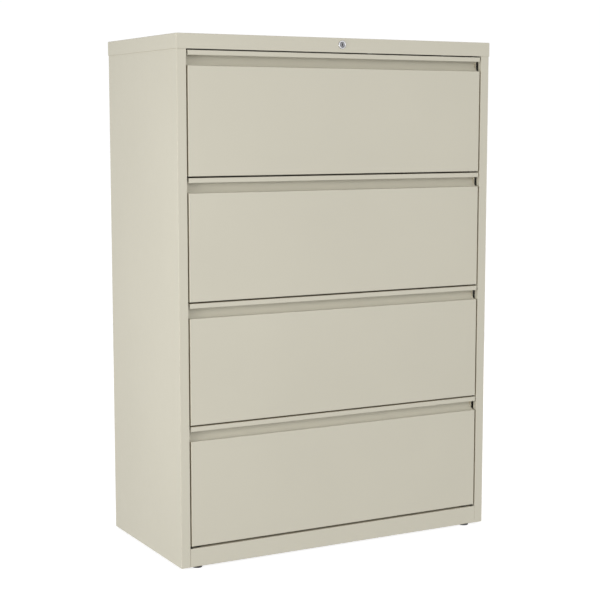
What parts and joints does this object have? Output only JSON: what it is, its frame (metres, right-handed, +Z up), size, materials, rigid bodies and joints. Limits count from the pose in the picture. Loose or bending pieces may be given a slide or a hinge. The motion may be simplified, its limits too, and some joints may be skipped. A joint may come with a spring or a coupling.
{
  "type": "lateral filing cabinet",
  "caption": "Wide steel filing cabinet with stacked drawers on ball slides, full-width recessed pulls, a locking bar, and levelling feet.",
  "frame": {"origin": "on the floor, under the centre of the bounding box at rest", "axes": "+X to the right when facing the drawers, -Y out of the drawer fronts, +Z up"},
  "size_m": [0.9144, 0.45, 1.3208],
  "materials": {
    "case_paint": "putty powder coat, low gloss",
    "front_paint": "putty powder coat, low gloss",
    "inner_paint": "putty powder coat, low gloss",
    "zinc": "zinc plated",
    "lock_chrome": "polished",
    "lock_steel": "satin nickel",
    "bumper_rubber": "matt",
    "foot_plastic": "moulded nylon",
    "ballast": "black oxide"
  },
  "bodies": {
    "case": {"back_panel": "case_paint", "base_front_rail": "case_paint", "bottom_pan": "zinc", "counterweight": "ballast", "drawer_1_fixed_slides": "zinc", "drawer_2_fixed_slides": "zinc", "drawer_3_fixed_slides": "zinc", "drawer_4_fixed_slides": "zinc", "left_side_panel": "case_paint", "left_uprights": "zinc", "leveler_nuts": "zinc", "lock_bar_guides": "zinc", "lock_crank_bracket": "zinc", "lock_housing": "lock_chrome", "lock_link_guides": "zinc", "lock_nut": "zinc", "right_side_panel": "case_paint", "right_uprights": "zinc", "slide_bumpers": "bumper_rubber", "slide_screws": "zinc", "top_cap": "case_paint"},
    "drawer_1": {"drawer_1_box": "inner_paint", "drawer_1_drawer_slides": "zinc", "drawer_1_front": "front_paint", "drawer_1_hang_rails": "zinc", "drawer_1_lock_catch": "zinc", "drawer_1_pull": "front_paint"},
    "drawer_1_middle": {"drawer_1_middle_slides": "zinc"},
    "drawer_2": {"drawer_2_box": "inner_paint", "drawer_2_drawer_slides": "zinc", "drawer_2_front": "front_paint", "drawer_2_hang_rails": "zinc", "drawer_2_lock_catch": "zinc", "drawer_2_pull": "front_paint"},
    "drawer_2_middle": {"drawer_2_middle_slides": "zinc"},
    "drawer_3": {"drawer_3_box": "inner_paint", "drawer_3_drawer_slides": "zinc", "drawer_3_front": "front_paint", "drawer_3_hang_rails": "zinc", "drawer_3_lock_catch": "zinc", "drawer_3_pull": "front_paint"},
    "drawer_3_middle": {"drawer_3_middle_slides": "zinc"},
    "drawer_4": {"drawer_4_box": "inner_paint", "drawer_4_drawer_slides": "zinc", "drawer_4_front": "front_paint", "drawer_4_hang_rails": "zinc", "drawer_4_lock_catch": "zinc", "drawer_4_pull": "front_paint"},
    "drawer_4_middle": {"drawer_4_middle_slides": "zinc"},
    "leveler_front_left": {"leveler_front_left": "foot_plastic"},
    "leveler_front_right": {"leveler_front_right": "foot_plastic"},
    "leveler_rear_left": {"leveler_rear_left": "foot_plastic"},
    "leveler_rear_right": {"leveler_rear_right": "foot_plastic"},
    "lock_bar": {"lock_bar": "zinc", "lock_bar_tabs": "zinc"},
    "lock_cylinder": {"lock_cam": "zinc", "lock_plug": "lock_steel"},
    "lock_crank": {"lock_crank": "zinc"},
    "lock_link": {"lock_link": "zinc"}
  },
  "joints": [
    {"name": "drawer_1_slide", "type": "slide", "parent": "case", "child": "drawer_1", "axis": [0, -1, 0], "range_m": [0, 0.38]},
    {"name": "drawer_1_middle_slide", "type": "slide", "parent": "case", "child": "drawer_1_middle", "axis": [0, -1, 0], "range_m": [0, 0.19]},
    {"name": "drawer_2_slide", "type": "slide", "parent": "case", "child": "drawer_2", "axis": [0, -1, 0], "range_m": [0, 0.38]},
    {"name": "drawer_2_middle_slide", "type": "slide", "parent": "case", "child": "drawer_2_middle", "axis": [0, -1, 0], "range_m": [0, 0.19]},
    {"name": "drawer_3_slide", "type": "slide", "parent": "case", "child": "drawer_3", "axis": [0, -1, 0], "range_m": [0, 0.38]},
    {"name": "drawer_3_middle_slide", "type": "slide", "parent": "case", "child": "drawer_3_middle", "axis": [0, -1, 0], "range_m": [0, 0.19]},
    {"name": "drawer_4_slide", "type": "slide", "parent": "case", "child": "drawer_4", "axis": [0, -1, 0], "range_m": [0, 0.38]},
    {"name": "drawer_4_middle_slide", "type": "slide", "parent": "case", "child": "drawer_4_middle", "axis": [0, -1, 0], "range_m": [0, 0.19]},
    {"name": "lock_turn", "type": "hinge", "parent": "case", "child": "lock_cylinder", "pos_m": [0, -0.22275, 1.304], "axis": [0, 1, 0], "range_deg": [0, 90]},
    {"name": "lock_link_slide", "type": "slide", "parent": "case", "child": "lock_link", "axis": [-1, 0, 0], "range_m": [0, 0.01699]},
    {"name": "lock_crank_pivot", "type": "hinge", "parent": "case", "child": "lock_crank", "pos_m": [0.423, -0.18655, 1.3053], "axis": [0, 1, 0], "range_deg": [0, 74.71]},
    {"name": "lock_bar_drop", "type": "slide", "parent": "case", "child": "lock_bar", "axis": [0, 0, -1], "range_m": [0, 0.01697]},
    {"name": "leveler_front_left_screw", "type": "slide", "parent": "case", "child": "leveler_front_left", "axis": [0, 0, -1], "range_m": [0, 0.019]},
    {"name": "leveler_front_right_screw", "type": "slide", "parent": "case", "child": "leveler_front_right", "axis": [0, 0, -1], "range_m": [0, 0.019]},
    {"name": "leveler_rear_left_screw", "type": "slide", "parent": "case", "child": "leveler_rear_left", "axis": [0, 0, -1], "range_m": [0, 0.019]},
    {"name": "leveler_rear_right_screw", "type": "slide", "parent": "case", "child": "leveler_rear_right", "axis": [0, 0, -1], "range_m": [0, 0.019]}
  ],
  "couplings": [
    {"joint": "drawer_1_middle_slide", "follows": "drawer_1_slide", "ratio": 0.5},
    {"joint": "drawer_2_middle_slide", "follows": "drawer_2_slide", "ratio": 0.5},
    {"joint": "drawer_3_middle_slide", "follows": "drawer_3_slide", "ratio": 0.5},
    {"joint": "drawer_4_middle_slide", "follows": "drawer_4_slide", "ratio": 0.5},
    {"joint": "lock_turn", "follows": "lock_bar_drop", "rad_per_m": 92.563},
    {"joint": "lock_link_slide", "follows": "lock_bar_drop", "ratio": 1},
    {"joint": "lock_crank_pivot", "follows": "lock_bar_drop", "rad_per_m": 76.739}
  ]
}
